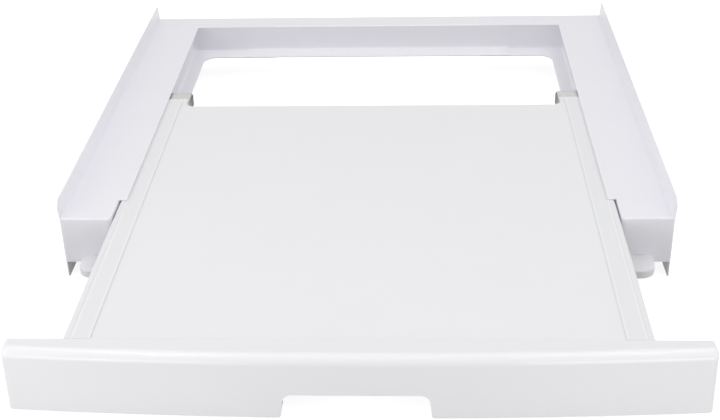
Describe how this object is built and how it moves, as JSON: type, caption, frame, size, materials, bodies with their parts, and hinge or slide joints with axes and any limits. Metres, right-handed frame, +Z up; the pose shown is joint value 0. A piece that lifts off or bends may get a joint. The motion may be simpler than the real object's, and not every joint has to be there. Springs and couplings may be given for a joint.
{
  "type": "washer dryer stacking kit",
  "caption": "Low white sheet-metal frame that joins a dryer to the washer below, with side plates, an open middle and a pull-out shelf whose bowed front panel has a hand notch",
  "frame": {"origin": "under the middle of the whole object, shelf as pictured, at the level of the side plates' lower edges", "axes": "+Y from the shelf's front panel to the frame's back, +X to the right seen from the front, +Z up"},
  "size_m": [0.6034, 0.7729, 0.0855],
  "materials": {
    "white_enamel": "satin",
    "shelf_enamel": "satin",
    "panel_plastic": "satin",
    "white_plastic": "satin",
    "zinc_steel": "zinc plated",
    "cage_steel": "zinc plated",
    "ball_steel": "polished",
    "screw_steel": "zinc plated",
    "buffer_rubber": "matt"
  },
  "bodies": {
    "frame": {"deck_panel": "white_enamel", "side_plate_left": "white_enamel", "side_plate_right": "white_enamel", "side_channel_left": "white_enamel", "side_channel_right": "white_enamel", "rear_channel": "white_enamel", "front_cross_bar": "white_plastic", "closing_buffers": "buffer_rubber", "cabinet_rail_left": "zinc_steel", "cabinet_rail_right": "zinc_steel", "cabinet_rail_screws": "screw_steel", "cross_bar_screws": "screw_steel"},
    "shelf": {"shelf_panel": "shelf_enamel", "shelf_stiffener_front": "white_enamel", "shelf_stiffener_rear": "white_enamel", "shelf_runner_left": "zinc_steel", "shelf_runner_right": "zinc_steel", "front_panel": "panel_plastic", "panel_screws": "screw_steel"},
    "ball_carriages": {"ball_cage_left": "cage_steel", "ball_cage_right": "cage_steel", "bearing_balls_left": "ball_steel", "bearing_balls_right": "ball_steel"}
  },
  "joints": [
    {"name": "shelf_slide", "type": "slide", "parent": "frame", "child": "shelf", "axis": [0, 1, 0], "range_m": [-0.15, 0.181]},
    {"name": "carriage_roll", "type": "slide", "parent": "frame", "child": "ball_carriages", "axis": [0, 1, 0], "range_m": [-0.0752, 0.0907]}
  ],
  "couplings": [
    {"joint": "carriage_roll", "follows": "shelf_slide", "ratio": 0.5}
  ]
}
